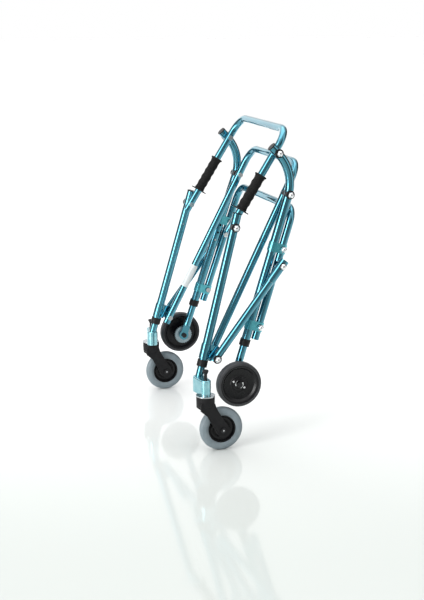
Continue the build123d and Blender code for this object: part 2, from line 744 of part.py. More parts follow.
rear_leg_solids = [rear_leg_bar(side) for side, word in SIDES]
with BuildPart() as rear_pivot_washers:
    for side, word in SIDES:
        for pivot in (link_pivot, cross_pivot):
            half = rear_half(pivot.Z)
            pin(side, pivot, half, half + leg_radius + washer_height, washer_radius,
                bolt_radius)
        start = scissor_half(scissor_link) + tube_radius + lean_gap
        pin(side, cross_pivot, start, cross_half, washer_radius, bolt_radius)
    add(rear_leg_solids, mode=Mode.SUBTRACT)
rear_pivot_washers.part.label = "rear_pivot_washers"
export_step(rear_pivot_washers.part, "parts/rear_pivot_washers.step")

# ---------------------------------------------------------------- rear inner legs and hubs
paddle_length = 34.0       # flattened lower end of the inner leg, above the axle
paddle_radius = 15.0
paddle_thickness = 9.0
ratchet_radius = 28.0
ratchet_teeth = 24
ratchet_depth = 2.5
ratchet_width = 8.0
axle_cap = 3.0             # cap on the axle's outer end
axle_cap_inset = 1.0       # cap inside the tyre's outer face
hub_outer = track_half + rear_tyre_width / 2 - axle_cap_inset
for side, word in SIDES:
    top = rear_axis(side, rear_inner_start)
    hub_axis = rear_axis(side, rear_hub_distance)
    knee = rear_axis(side, rear_hub_distance - paddle_length)
    hub_half = abs(hub_axis.X)
    inner_face = hub_half - paddle_thickness / 2
    outer_face = hub_half + paddle_thickness / 2
    with BuildPart() as rear_inner_leg:
        rod(top, knee, tube_radius, tube_radius - wall)
        with BuildSketch(Plane(origin=outboard(side, rear_hub, inner_face),
                               x_dir=rear_down, z_dir=(side, 0, 0))) as paddle:
            Circle(paddle_radius)
            with Locations((-paddle_length / 2, 0)):
                Rectangle(paddle_length, 2 * tube_radius)
            with Locations((-paddle_length, 0)):
                Circle(tube_radius)
        extrude(paddle.sketch, amount=paddle_thickness)
        pin(side, rear_hub, hub_half - 2 * tube_radius, hub_half + 2 * tube_radius,
            axle_radius, mode=Mode.SUBTRACT)
        hole = rear_hole(side, rear_button_hole)
        pin(side, hole, abs(hole.X) - 2 * tube_radius, abs(hole.X),
            button_radius + running_gap, mode=Mode.SUBTRACT)
    rear_inner_leg.part.label = f"rear_inner_leg_{word}"
    export_step(rear_inner_leg.part, f"parts/rear_inner_leg_{word}.step")

    with BuildPart() as ratchet_ring:
        pin(side, rear_hub, outer_face, outer_face + ratchet_width, ratchet_radius,
            axle_radius)
        face = Plane(origin=outboard(side, rear_hub, outer_face), z_dir=(side, 0, 0))
        with BuildSketch(face) as notches:
            with PolarLocations(ratchet_radius, ratchet_teeth):
                RegularPolygon(ratchet_depth, 3)
        extrude(notches.sketch, amount=ratchet_width, mode=Mode.SUBTRACT)
        pin(side, rear_hub, outer_face + ratchet_width,
            track_half - rear_tyre_width / 2 - face_gap, hub_radius, axle_radius)
    ratchet_ring.part.label = f"ratchet_ring_{word}"
    export_step(ratchet_ring.part, f"parts/ratchet_ring_{word}.step")

    with BuildPart() as rear_axle:
        pin(side, rear_hub, inner_face - bolt_head_height, inner_face, bolt_head_radius)
        pin(side, rear_hub, inner_face - bolt_overlap, hub_outer - axle_cap, axle_radius)
        pin(side, rear_hub, hub_outer - axle_cap, hub_outer, axle_radius * 1.6)
    rear_axle.part.label = f"rear_axle_{word}"
    export_step(rear_axle.part, f"parts/rear_axle_{word}.step")

# ---------------------------------------------------------------- scissor frame
scissor_plane = Plane(origin=foot_pivot, x_dir=(1, 0, 0),
                      z_dir=Vector(1, 0, 0).cross(scissor_dir))
scissor_top = scissor_link + scissor_rise
with BuildPart() as scissor_frame:
    with BuildLine(scissor_plane) as path:
        FilletPolyline((scissor_half(-scissor_tail), -scissor_tail),
                       (scissor_half(scissor_top), scissor_top),
                       (-scissor_half(scissor_top), scissor_top),
                       (-scissor_half(-scissor_tail), -scissor_tail), radius=scissor_bend)
    with BuildSketch(Plane(origin=path.line @ 0, z_dir=path.line % 0)):
        Circle(tube_radius)
        Circle(tube_radius - wall, mode=Mode.SUBTRACT)
    sweep()
    for side, word in SIDES:
        pin(side, foot_pivot, scissor_foot_half - 2 * tube_radius,
            scissor_foot_half + 2 * tube_radius, bolt_radius + running_gap,
            mode=Mode.SUBTRACT)
        pin(side, cross_pivot, scissor_half(scissor_link) - 2 * tube_radius,
            scissor_half(scissor_link) + 2 * tube_radius, bolt_radius, mode=Mode.SUBTRACT)
scissor_frame.part.label = "scissor_frame"
export_step(scissor_frame.part, "parts/scissor_frame.step")

with BuildPart() as scissor_bolts:
    for side, word in SIDES:
        half = scissor_half(scissor_link)
        start = half - tube_radius - seat_gap
        pin(side, cross_pivot, start - bolt_head_height, start, bolt_head_radius)
        pin(side, cross_pivot, start - bolt_overlap, half + tube_radius - seat_gap,
            bolt_radius)
scissor_bolts.part.label = "scissor_bolts"
export_step(scissor_bolts.part, "parts/scissor_bolts.step")

with BuildPart() as scissor_label:
    low = outboard(1, foot_pivot + scissor_dir * label_start, scissor_half(label_start))
    label_end = label_start + label_length
    high = outboard(1, foot_pivot + scissor_dir * label_end, scissor_half(label_end))
    rod(low, high, tube_radius + label_thickness, tube_radius)
scissor_label.part.label = "scissor_label"
export_step(scissor_label.part, "parts/scissor_label.step")

# ---------------------------------------------------------------- braces
def brace_point(side, distance):
    """The point of the brace's axis above its lower pivot."""
    return outboard(side, foot_pivot + brace_dir * distance, brace_half)


with BuildPart() as brace_outer_tubes:
    for side, word in SIDES:
        rod(brace_point(side, -brace_tail), brace_point(side, brace_outer_length),
            tube_radius, brace_inner_radius + slide_gap)
        pin(side, foot_pivot, brace_half - 2 * tube_radius, brace_half + 2 * tube_radius,
            bolt_radius + running_gap, mode=Mode.SUBTRACT)
brace_outer_tubes.part.label = "brace_outer_tubes"
export_step(brace_outer_tubes.part, "parts/brace_outer_tubes.step")

brace_head_low = brace_outer_length + face_gap
with BuildPart() as brace_inner_tubes:
    for side, word in SIDES:
        rod(brace_point(side, brace_inner_low),
            brace_point(side, brace_link - brace_inner_short),
            brace_inner_radius, brace_inner_radius - wall)
brace_inner_tubes.part.label = "brace_inner_tubes"
export_step(brace_inner_tubes.part, "parts/brace_inner_tubes.step")

bar_gap = bar_half(brace_pivot_distance) + tube_radius + lean_gap
with BuildPart() as brace_heads:
    for side, word in SIDES:
        rod(brace_point(side, brace_head_low), brace_point(side, brace_link + brace_head_over),
            brace_head_radius)
        pin(side, brace_upper, bar_gap, brace_half, washer_radius)
        rod(brace_point(side, brace_inner_low),
            brace_point(side, brace_link - brace_inner_short), brace_inner_radius,
            mode=Mode.SUBTRACT)
        pin(side, brace_upper, bar_gap, brace_half + 2 * brace_head_radius, bolt_radius,
            mode=Mode.SUBTRACT)
brace_heads.part.label = "brace_heads"
export_step(brace_heads.part, "parts/brace_heads.step")

with BuildPart() as brace_bolts:
    for side, word in SIDES:
        start = bar_half(brace_pivot_distance) - tube_radius - face_gap
        pin(side, brace_upper, start - bolt_head_height, start, bolt_head_radius)
        pin(side, brace_upper, start - bolt_overlap, brace_half + brace_head_radius,
            bolt_radius)
        cap_nut(side, brace_upper, brace_half + brace_head_radius)
brace_bolts.part.label = "brace_bolts"
export_step(brace_bolts.part, "parts/brace_bolts.step")

# the bolt at the foot stops short of the bracket: that pivot is an open one
washer_face = brace_half + tube_radius + seat_gap
with BuildPart() as brace_foot_bolts:
    for side, word in SIDES:
        pin(side, foot_pivot, foot_face + face_gap, washer_face + washer_height,
            bolt_radius)
        pin(side, foot_pivot, washer_face, washer_face + washer_height, washer_radius)
        cap_nut(side, foot_pivot, washer_face + washer_height)
brace_foot_bolts.part.label = "brace_foot_bolts"
export_step(brace_foot_bolts.part, "parts/brace_foot_bolts.step")

# ---------------------------------------------------------------- height buttons
button_tip = tube_radius - 0.4     # pressed in, just under the inner leg's surface
button_root = 2.0                  # inner end, from the leg's axis
for name, locate in (("front", lambda side: front_hole(side, 0)),
                     ("rear", lambda side: rear_hole(side, rear_button_hole))):
    for side, word in SIDES:
        hole = locate(side)
        half = abs(hole.X)
        with BuildPart() as height_button:
            pin(side, hole, half - button_tip, half - button_root, button_radius)
            pin(side, hole, half - 2 * button_root, half - button_root,
                button_radius + 1)
        height_button.part.label = f"{name}_button_{word}"
        export_step(height_button.part, f"parts/{name}_button_{word}.step")
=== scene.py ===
"""Folding posterior walking frame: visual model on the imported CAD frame."""

import json
import math

import bmesh
import bpy
from mathutils import Matrix, Vector


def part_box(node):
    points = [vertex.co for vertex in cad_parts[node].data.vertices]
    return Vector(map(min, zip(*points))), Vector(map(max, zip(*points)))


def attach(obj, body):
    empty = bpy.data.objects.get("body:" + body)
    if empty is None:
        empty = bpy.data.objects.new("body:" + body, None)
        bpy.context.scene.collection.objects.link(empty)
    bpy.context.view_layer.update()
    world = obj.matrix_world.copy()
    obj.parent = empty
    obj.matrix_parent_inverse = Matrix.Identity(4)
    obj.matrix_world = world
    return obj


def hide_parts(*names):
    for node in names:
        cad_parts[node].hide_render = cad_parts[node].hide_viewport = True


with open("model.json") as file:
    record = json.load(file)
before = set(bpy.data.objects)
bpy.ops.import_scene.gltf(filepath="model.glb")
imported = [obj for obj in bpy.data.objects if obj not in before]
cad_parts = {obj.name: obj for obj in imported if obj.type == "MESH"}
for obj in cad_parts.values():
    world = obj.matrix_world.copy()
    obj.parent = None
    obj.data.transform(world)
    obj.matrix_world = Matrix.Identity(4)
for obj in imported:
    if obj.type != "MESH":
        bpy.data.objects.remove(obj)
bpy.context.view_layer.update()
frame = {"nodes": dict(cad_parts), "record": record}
nodes = frame["nodes"]
SIDES = (("left", -1), ("right", 1))


# ------------------------------------------------------------------ materials
COLOUR_SPREAD = 0.35
BUMP_DISTANCE = 0.0004
SMOOTHEST = 0.02


def material(name, color, metallic, roughness, color_two, scale, rough_spread, bump,
             bump_scale, stretch=(1, 1, 1), coat=0.0, coat_roughness=0.1, specular=0.5):
    """A Principled material whose colour, roughness and bump vary with noise."""
    mat = bpy.data.materials.new(name)
    mat.use_nodes = True
    tree = mat.node_tree
    bsdf = tree.nodes["Principled BSDF"]
    bsdf.inputs["Metallic"].default_value = metallic
    bsdf.inputs["Specular IOR Level"].default_value = specular
    bsdf.inputs["Coat Weight"].default_value = coat
    bsdf.inputs["Coat Roughness"].default_value = coat_roughness
    place = tree.nodes.new("ShaderNodeTexCoord")
    large = tree.nodes.new("ShaderNodeTexNoise")
    large.inputs["Scale"].default_value = scale
    large.inputs["Detail"].default_value = 4
    tree.links.new(place.outputs["Object"], large.inputs["Vector"])
    ramp = tree.nodes.new("ShaderNodeValToRGB")
    ramp.color_ramp.elements[0].position = 0.5 - COLOUR_SPREAD / 2
    ramp.color_ramp.elements[1].position = 0.5 + COLOUR_SPREAD / 2
    ramp.color_ramp.elements[0].color = (*color, 1)
    ramp.color_ramp.elements[1].color = (*color_two, 1)
    tree.links.new(large.outputs["Fac"], ramp.inputs["Fac"])
    tree.links.new(ramp.outputs["Color"], bsdf.inputs["Base Color"])
    stretched = tree.nodes.new("ShaderNodeMapping")
    stretched.inputs["Scale"].default_value = stretch
    tree.links.new(place.outputs["Object"], stretched.inputs["Vector"])
    fine = tree.nodes.new("ShaderNodeTexNoise")
    fine.inputs["Scale"].default_value = bump_scale
    fine.inputs["Detail"].default_value = 3
    tree.links.new(stretched.outputs["Vector"], fine.inputs["Vector"])
    rough = tree.nodes.new("ShaderNodeMapRange")
    rough.inputs["To Min"].default_value = max(SMOOTHEST, roughness - rough_spread)
    rough.inputs["To Max"].default_value = roughness + rough_spread
    tree.links.new(fine.outputs["Fac"], rough.inputs["Value"])
    tree.links.new(rough.outputs["Result"], bsdf.inputs["Roughness"])
    relief = tree.nodes.new("ShaderNodeBump")
    relief.inputs["Strength"].default_value = bump
    relief.inputs["Distance"].default_value = BUMP_DISTANCE
    tree.links.new(fine.outputs["Fac"], relief.inputs["Height"])
    tree.links.new(relief.outputs["Normal"], bsdf.inputs["Normal"])
    return mat


teal = material("teal_anodised", (0.024, 0.215, 0.3), 1.0, 0.1, (0.042, 0.27, 0.36),
                scale=14, rough_spread=0.035, bump=0.012, bump_scale=90,
                stretch=(4, 1, 0.4), coat=0.85, coat_roughness=0.035)
# a denser coat than the default, for the bright edges of polished anodising
teal.node_tree.nodes["Principled BSDF"].inputs["Coat IOR"].default_value = 1.75
teal_cast = material("teal_clamp", (0.2, 0.5, 0.58), 0.85, 0.2, (0.34, 0.64, 0.7),
                     scale=60, rough_spread=0.07, bump=0.1, bump_scale=900, coat=0.6,
                     coat_roughness=0.06)
clamp_teal = material("clamp_teal", (0.07, 0.4, 0.48), 0.9, 0.2, (0.12, 0.5, 0.58),
                      scale=60, rough_spread=0.07, bump=0.1, bump_scale=900, coat=0.6,
                      coat_roughness=0.06)
axle_black = material("black_oxide", (0.03, 0.03, 0.032), 0.9, 0.3, (0.05, 0.05, 0.052),
                      scale=200, rough_spread=0.08, bump=0.05, bump_scale=900)
chrome = material("chrome_nut", (0.8, 0.81, 0.83), 1.0, 0.07, (0.9, 0.9, 0.91),
                  scale=200, rough_spread=0.03, bump=0.03, bump_scale=700)
steel = material("brushed_steel", (0.5, 0.53, 0.56), 1.0, 0.24, (0.66, 0.68, 0.7),
                 scale=150, rough_spread=0.08, bump=0.12, bump_scale=500,
                 stretch=(1, 1, 4))
ratchet_steel = material("ratchet_steel", (0.25, 0.34, 0.38), 1.0, 0.3,
                         (0.42, 0.5, 0.54), scale=260, rough_spread=0.1, bump=0.2,
                         bump_scale=700)
black_plastic = material("black_plastic", (0.008, 0.008, 0.009), 0.0, 0.42,
                         (0.015, 0.015, 0.016), scale=90, rough_spread=0.1, bump=0.2,
                         bump_scale=1500, specular=0.22)
fork_black = material("fork_nylon", (0.007, 0.007, 0.008), 0.0, 0.5, (0.013, 0.013, 0.014),
                      scale=70, rough_spread=0.08, bump=0.2, bump_scale=1800,
                      specular=0.2)
hub_black = material("hub_gloss", (0.003, 0.003, 0.004), 0.0, 0.26, (0.008, 0.008, 0.009),
                     scale=120, rough_spread=0.06, bump=0.06, bump_scale=900,
                     specular=0.28)
grey_tyre = material("grey_tyre", (0.19, 0.235, 0.26), 0.0, 0.5, (0.23, 0.275, 0.3),
                     scale=55, rough_spread=0.1, bump=0.2, bump_scale=1200,
                     specular=0.35)
dark_tyre = material("dark_tyre", (0.03, 0.031, 0.034), 0.0, 0.5, (0.045, 0.046, 0.05),
                     scale=55, rough_spread=0.1, bump=0.25, bump_scale=1200,
                     specular=0.35)
grip_foam = material("grip_foam", (0.008, 0.008, 0.008), 0.0, 0.7, (0.017, 0.016, 0.016),
                     scale=300, rough_spread=0.12, bump=0.5, bump_scale=2200,
                     specular=0.2)
label_white = material("blank_label", (0.62, 0.66, 0.67), 0.0, 0.3, (0.74, 0.77, 0.77),
                       scale=45, rough_spread=0.08, bump=0.05, bump_scale=600)

BY_SLOT = {
    "teal_tube": teal, "teal_cast": teal_cast, "chrome": chrome, "steel": steel,
    "black_plastic": black_plastic, "black_fork": fork_black, "black_hub": hub_black,
    "grey_tyre": grey_tyre, "dark_tyre": dark_tyre, "grip": grip_foam,
    "label": label_white,
}
# pieces that look different from the rest of their slot
BY_NODE = (
    (("front_axle", "rear_axle"), axle_black),
    (("ratchet_ring",), ratchet_steel),
    (("front_bracket", "brace_heads"), teal),
    (("tube_clamps",), clamp_teal),
)
slot_of = {part["node"]: part["material_slot"] for part in frame["record"]["subparts"]}
for node, obj in nodes.items():
    look = BY_SLOT[slot_of[node]]
    for starts, special in BY_NODE:
        if node.startswith(starts):
            look = special
    for material_slot in obj.material_slots:
        material_slot.material = look


# ------------------------------------------------------------------ mesh helpers
def finish_piece(name, bm, mat, body, replaced=(), sharp=35.0):
    """Makes an object of a bmesh, shades it, and hangs it on its body."""
    bmesh.ops.recalc_face_normals(bm, faces=bm.faces)
    for face in bm.faces:
        face.smooth = True
    for edge in bm.edges:
        if len(edge.link_faces) == 2:
            edge.smooth = edge.calc_face_angle(0) < math.radians(sharp)
    mesh = bpy.data.meshes.new(name)
    bm.to_mesh(mesh)
    bm.free()
    mesh.materials.append(mat)
    piece = bpy.data.objects.new(name, mesh)
    bpy.context.scene.collection.objects.link(piece)
    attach(piece, body)
    if replaced:
        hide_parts(*replaced)


def lathe(bm, base, axis, profile, segments=64, closed=True):
    """Adds a turned form: profile is (radius, distance along axis from base)."""
    axis = Vector(axis).normalized()
    side = axis.orthogonal().normalized()
    other = axis.cross(side)
    rings = []
    for radius, along in profile:
        centre = Vector(base) + axis * along
        if radius < 1e-7:
            rings.append([bm.verts.new(centre)])
            continue
        ring = []
        for i in range(segments):
            a = 2 * math.pi * i / segments
            ring.append(bm.verts.new(centre + (side * math.cos(a) + other * math.sin(a))
                                     * radius))
        rings.append(ring)
    pairs = list(zip(rings, rings[1:]))
    if closed:
        pairs.append((rings[-1], rings[0]))
    for low, high in pairs:
        for i in range(segments):
            j = (i + 1) % segments
            if len(low) == 1 and len(high) == 1:
                continue
            if len(low) == 1:
                bm.faces.new((low[0], high[j], high[i]))
            elif len(high) == 1:
                bm.faces.new((low[i], low[j], high[0]))
            else:
                bm.faces.new((low[i], low[j], high[j], high[i]))


def rounded(points, radius, steps=4):
    """An open profile with its inner corners rounded."""
    out = [points[0]]
    for before, corner, after in zip(points, points[1:], points[2:]):
        c = Vector(corner)
        a = Vector(before) - c
        b = Vector(after) - c
        reach = min(radius, a.length * 0.45, b.length * 0.45)
        start = c + a.normalized() * reach
        end = c + b.normalized() * reach
        for i in range(steps + 1):
            t = i / steps
            out.append(tuple(start * (1 - t) ** 2 + c * 2 * t * (1 - t) + end * t * t))
    out.append(points[-1])
    return out


def prism(bm, outline, low, high):
    """Adds an extrusion along X of an outline of (y, z) points."""
    near = [bm.verts.new((low, y, z)) for y, z in outline]
    far = [bm.verts.new((high, y, z)) for y, z in outline]
    bm.faces.new(near)
    bm.faces.new(list(reversed(far)))
    for i in range(len(outline)):
        j = (i + 1) % len(outline)
        bm.faces.new((near[j], near[i], far[i], far[j]))


def bevel_all(bm, width, segments=3, angle=25.0):
    """Rounds every edge sharper than the angle."""
    edges = [edge for edge in bm.edges if len(edge.link_faces) == 2
             and edge.calc_face_angle(0) > math.radians(angle)]
    bmesh.ops.bevel(bm, geom=edges, offset=width, segments=segments, profile=0.6,
                    affect="EDGES", clamp_overlap=True)


def corners(node):
    """The lowest and highest corner of a CAD node's box."""
    low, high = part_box(node)
    return Vector(low), Vector(high)


def middle(node):
    """The middle of a CAD node's box."""
    low, high = corners(node)
    return (low + high) / 2


def mirrored(half_profile, other_half=None):
    """A whole (radius, x) profile of a half and the mirror image of the same or another."""
    return half_profile + [(r, -x) for r, x in reversed(other_half or half_profile)]


# ------------------------------------------------------------------ wheels
WHEEL_BORE = 0.00505
REAR_RIM_RADIUS = 0.0555
WHEEL_SEGMENTS = 96
TREAD_ROUNDING = 0.004
RIM_ROUNDING = 0.0016


def tyre_profile(kind, radius, rim_radius, half):
    """Half of a tyre's section, from its bead to the middle of its tread."""
    if kind == "front":
        return [(rim_radius, -half + 0.003), (radius - 0.015, -half),
                (radius - 0.005, -half + 0.0025), (radius - 0.0012, -half + 0.007),
                (radius - 0.0004, -half + 0.0095), (radius, -0.001)]
    return [(rim_radius, -half + 0.0025), (radius - 0.008, -half),
            (radius - 0.0018, -half + 0.0018), (radius - 0.0002, -half + 0.0055),
            (radius - 0.0007, -half + 0.0062), (radius - 0.0007, -half + 0.0068),
            (radius, -half + 0.0075), (radius, -0.0008)]


def rim_profiles(kind, rim_radius, half):
    """The outer and inner face of a rim, from its bore to its edge."""
    if kind == "front":
        face = [(WHEEL_BORE, half - 0.003), (0.011, half - 0.003), (0.013, half - 0.005),
                (0.0145, 0.005), (0.0225, 0.0035), (0.0235, 0.0055), (0.0255, 0.0055),
                (0.0265, 0.0035), (rim_radius - 0.0065, 0.004),
                (rim_radius - 0.004, half - 0.005), (rim_radius - 0.0025, half - 0.0035),
                (rim_radius, half - 0.0035)]
        return face, face
    face = [(WHEEL_BORE, 0.006), (0.0125, 0.006), (0.0135, 0.0035), (0.0195, 0.003),
            (0.0215, 0.0052), (0.0245, 0.0052), (0.0265, 0.003),
            (rim_radius - 0.012, 0.0045), (rim_radius - 0.0065, half - 0.0045),
            (rim_radius - 0.003, half - 0.0026), (rim_radius, half - 0.0026)]
    back = [(WHEEL_BORE, half - 0.0005), (0.0125, half - 0.0005), (0.0135, half - 0.003),
            (0.0155, 0.007), (rim_radius - 0.009, 0.0065),
            (rim_radius - 0.0055, half - 0.003), (rim_radius, half - 0.003)]
    return face, back


def rim_trim(side_name, centre, sign, body):
    """Two cover screws and two arcs of a retaining clip round the rear axle's cap."""
    screw_spots = ((0.0165, 0.009), (-0.0155, -0.0105))
    screw_radius = 0.0032
    web_face = 0.0025
    clip_near = 0.0086
    clip_arcs = ((150, 250, 0.0122), (-20, 60, 0.0118))
    clip_low, clip_high = 0.0058, 0.0072
    screw = rounded([(0, web_face + 0.004), (screw_radius * 0.5, web_face + 0.004),
                     (screw_radius * 0.95, web_face + 0.0032),
                     (screw_radius, web_face + 0.0022), (screw_radius, web_face)], 0.0008)
    bm = bmesh.new()
    for y, z in screw_spots:
        lathe(bm, centre + Vector((0, y, z)), (sign, 0, 0), screw, 24, closed=False)
    for first, last, far in clip_arcs:
        arc = [(far, math.radians(a)) for a in range(first, last + 1, 10)]
        arc += [(clip_near, math.radians(a)) for a in range(last, first - 1, -10)]
        outline = [(centre.y + r * math.cos(a), centre.z + r * math.sin(a)) for r, a in arc]
        prism(bm, outline, centre.x + sign * clip_low, centre.x + sign * clip_high)
    finish_piece(f"rim_trim_{side_name}", bm, chrome, body)


def wheel(side_name, sign, kind, tyre_look):
    """Tyre and rim of one wheel, turned about its axle."""
    body = f"{kind}_wheel_{side_name}"
    tyre_node = f"{kind}_tyre_{side_name}"
    rim_node = f"{kind}_rim_{side_name}"
    low, high = corners(tyre_node)
    centre = (low + high) / 2
    radius = (high.z - low.z) / 2
    half = (high.x - low.x) / 2
    rim_low, rim_high = corners(rim_node)
    rim_radius = REAR_RIM_RADIUS if kind == "rear" else (rim_high.z - rim_low.z) / 2
    out = (sign, 0, 0)
    bm = bmesh.new()
    tyre = rounded(tyre_profile(kind, radius, rim_radius, half), TREAD_ROUNDING)
    lathe(bm, centre, out, mirrored(tyre), WHEEL_SEGMENTS)
    finish_piece(f"tyre_{kind}_{side_name}", bm, tyre_look, body,
                 (tyre_node,))
    bm = bmesh.new()
    face, back = (rounded(points, RIM_ROUNDING)
                  for points in rim_profiles(kind, rim_radius, half))
    lathe(bm, centre, out, mirrored(face, back), WHEEL_SEGMENTS)
    finish_piece(f"rim_{kind}_{side_name}", bm, hub_black, body,
                 (rim_node,))
    if kind == "rear":
        rim_trim(side_name, centre, sign, body)


for side_name, sign in SIDES:
    wheel(side_name, sign, "front", grey_tyre)
    wheel(side_name, sign, "rear", dark_tyre)


# ------------------------------------------------------------------ domed nuts
NUT_RADIUS = 0.0094
FLANGE_RADIUS = 0.0079
DOME_RADIUS = 0.0076
BOLT_RADIUS = 0.0039
BOLT_NUT_DEPTH = 0.012
HEAD_DEPTH = 0.005
# reach along the bolt and radius of the dark washer or bush behind a nut
FOOT_WASHER = (0.0033, 0.0125)
FOLD_BUSH = (0.0012, 0.0105)


def islands(node):
    """The box of each separate solid of a CAD node."""
    bm = bmesh.new()
    bm.from_mesh(nodes[node].data)
    bmesh.ops.remove_doubles(bm, verts=bm.verts, dist=1e-6)
    left = set(bm.verts)
    boxes = []
    while left:
        group, fringe = set(), [left.pop()]
        while fringe:
            vert = fringe.pop()
            group.add(vert)
            for link_edge in vert.link_edges:
                other = link_edge.other_vert(vert)
                if other in left:
                    left.discard(other)
                    fringe.append(other)
        places = [vert.co.copy() for vert in group]
        boxes.append((Vector([min(p[i] for p in places) for i in range(3)]),
                      Vector([max(p[i] for p in places) for i in range(3)])))
    bm.free()
    return boxes


def domed_nut(bm, start, sign, depth):
    """Adds a hexagon with a dome, its flat face at start."""
    flat = bmesh.new()
    hexagon = [(start.y + NUT_RADIUS * math.cos(math.pi * i / 3),
                start.z + NUT_RADIUS * math.sin(math.pi * i / 3)) for i in range(6)]
    prism(flat, hexagon, start.x, start.x + sign * depth * 0.42)
    bevel_all(flat, 0.0007, 2)
    spare = bpy.data.meshes.new("spare")
    flat.to_mesh(spare)
    flat.free()
    bm.from_mesh(spare)
    bpy.data.meshes.remove(spare)
    dome = [(FLANGE_RADIUS, depth * 0.36), (FLANGE_RADIUS, depth * 0.46),
            (DOME_RADIUS, depth * 0.5)]
    dome += [(DOME_RADIUS * math.cos(a), depth * (0.5 + 0.5 * math.sin(a)))
             for a in [math.radians(d) for d in range(12, 90, 13)]]
    dome += [(0, depth)]
    lathe(bm, start, (sign, 0, 0), dome, 40, closed=False)


def nuts(node, body):
    """Domed chrome nuts in place of the plain ones of a CAD node."""
    bm = bmesh.new()
    for low, high in islands(node):
        centre = (low + high) / 2
        sign = 1 if centre.x > 0 else -1
        inner = low.x if sign > 0 else high.x
        domed_nut(bm, Vector((inner, centre.y, centre.z)), sign, high.x - low.x)
    finish_piece(f"domed_{node}", bm, chrome, body, (node,), sharp=30)


def brace_bolt(node, body, foot):
    """Bolts with domed nuts in place of a CAD node's, and dark washers behind them."""
    reach, washer_radius = FOOT_WASHER if foot else FOLD_BUSH
    bm = bmesh.new()
    dark = bmesh.new()
    for low, high in islands(node):
        centre = (low + high) / 2
        sign = 1 if centre.x > 0 else -1
        out = (sign, 0, 0)
        inner, outer = (low.x, high.x) if sign > 0 else (high.x, low.x)
        face = outer - sign * BOLT_NUT_DEPTH
        domed_nut(bm, Vector((face, centre.y, centre.z)), sign, BOLT_NUT_DEPTH)
        length = abs(face - inner)
        head = [] if foot else [(0.0062, 0), (0.0075, 0.0014), (0.0075, HEAD_DEPTH)]
        neck = 0 if foot else HEAD_DEPTH
        bolt = [(0, 0), *head, (BOLT_RADIUS, neck), (BOLT_RADIUS, length), (0, length)]
        lathe(bm, (inner, centre.y, centre.z), out, bolt, 32, closed=False)
        behind = reach if foot else 0
        washer = [(0.004, 0), (washer_radius, 0), (washer_radius, reach), (0.004, reach)]
        lathe(dark, (face - sign * behind, centre.y, centre.z), out,
              rounded(washer, 0.0005), 48)
    finish_piece(f"domed_{node}", bm, chrome, body, (node,), sharp=30)
    finish_piece(f"washer_{node}", dark, axle_black, body)


nuts("front_cap_nuts", "front_legs")
nuts("rear_cap_nuts", "rear_frame")
brace_bolt("brace_foot_bolts", "brace_outer", foot=True)
brace_bolt("brace_bolts", "brace_inner", foot=False)


# ------------------------------------------------------------------ casters
ARM_INSIDE, ARM_OUTSIDE = 0.017, 0.023
TIP_WIDE, TIP_DEEP = 0.0185, 0.0205


def fork(side_name):
    """A caster's fork: two arms from a round head down to the axle."""
    axle = middle(f"front_tyre_{side_name}")
    stem_y = middle(f"caster_stem_{side_name}").y
    top = corners(f"caster_fork_{side_name}")[1].z
    x, y, z = axle
    outline = [(stem_y + 0.017, z + 0.0825), (stem_y + 0.0198, z + 0.078),
               (stem_y + 0.02, z + 0.06), (stem_y + 0.002, z + 0.0455)]
    outline += [(y + TIP_WIDE * math.sin(a), z - TIP_DEEP * math.cos(a))
                for a in [math.radians(d) for d in range(60, -106, -15)]]
    outline += [(stem_y - 0.0315, z + 0.0555), (stem_y - 0.024, z + 0.07),
                (stem_y - 0.0215, z + 0.08), (stem_y - 0.017, z + 0.0825)]
    bm = bmesh.new()
    prism(bm, outline, x - ARM_OUTSIDE, x - ARM_INSIDE)
    prism(bm, outline, x + ARM_INSIDE, x + ARM_OUTSIDE)
    bevel_all(bm, 0.002)
    head = [(0, z + 0.0672), (0.0225, z + 0.0672), (0.0258, z + 0.072),
            (0.0262, top - 0.002), (0.0255, top), (0, top)]
    lathe(bm, (x, stem_y, 0), (0, 0, 1), rounded(head, 0.0018), 64, closed=False)
    finish_piece(f"fork_{side_name}", bm, fork_black, f"caster_{side_name}",
                 (f"caster_fork_{side_name}",))


def axle_centres(side_name):
    """The bright centres of the two heads of a caster's axle."""
    _, y, z = middle(f"front_tyre_{side_name}")
    low, high = corners(f"front_axle_{side_name}")
    centre = [(0, 0), (0.002, 0), (0.002, 0.0012), (0.0013, 0.0017), (0, 0.0018)]
    bm = bmesh.new()
    for end, way in ((low.x, -1), (high.x, 1)):
        lathe(bm, (end - way * 0.001, y, z), (way, 0, 0), centre, 24, closed=False)
    finish_piece(f"axle_centres_{side_name}", bm, chrome, f"caster_{side_name}")


def knob(side_name):
    """The knob of a caster's swivel lock: a thin stem and a wider cap."""
    low, high = corners(f"swivel_knob_{side_name}")
    centre = (low + high) / 2
    top = high.z
    profile = [(0, low.z), (0.0058, low.z), (0.0058, top - 0.03), (0.0048, top - 0.028),
               (0.0044, top - 0.013), (0.0084, top - 0.005), (0.0086, top - 0.001),
               (0.0066, top), (0, top - 0.0012)]
    bm = bmesh.new()
    lathe(bm, (centre.x, centre.y, 0), (0, 0, 1), rounded(profile, 0.0014), 48, closed=False)
    finish_piece(f"knob_{side_name}", bm, black_plastic,
                 f"swivel_lock_{side_name}", (f"swivel_knob_{side_name}",))


for side_name, _ in SIDES:
    fork(side_name)
    axle_centres(side_name)
for side_name, _ in SIDES:
    knob(side_name)


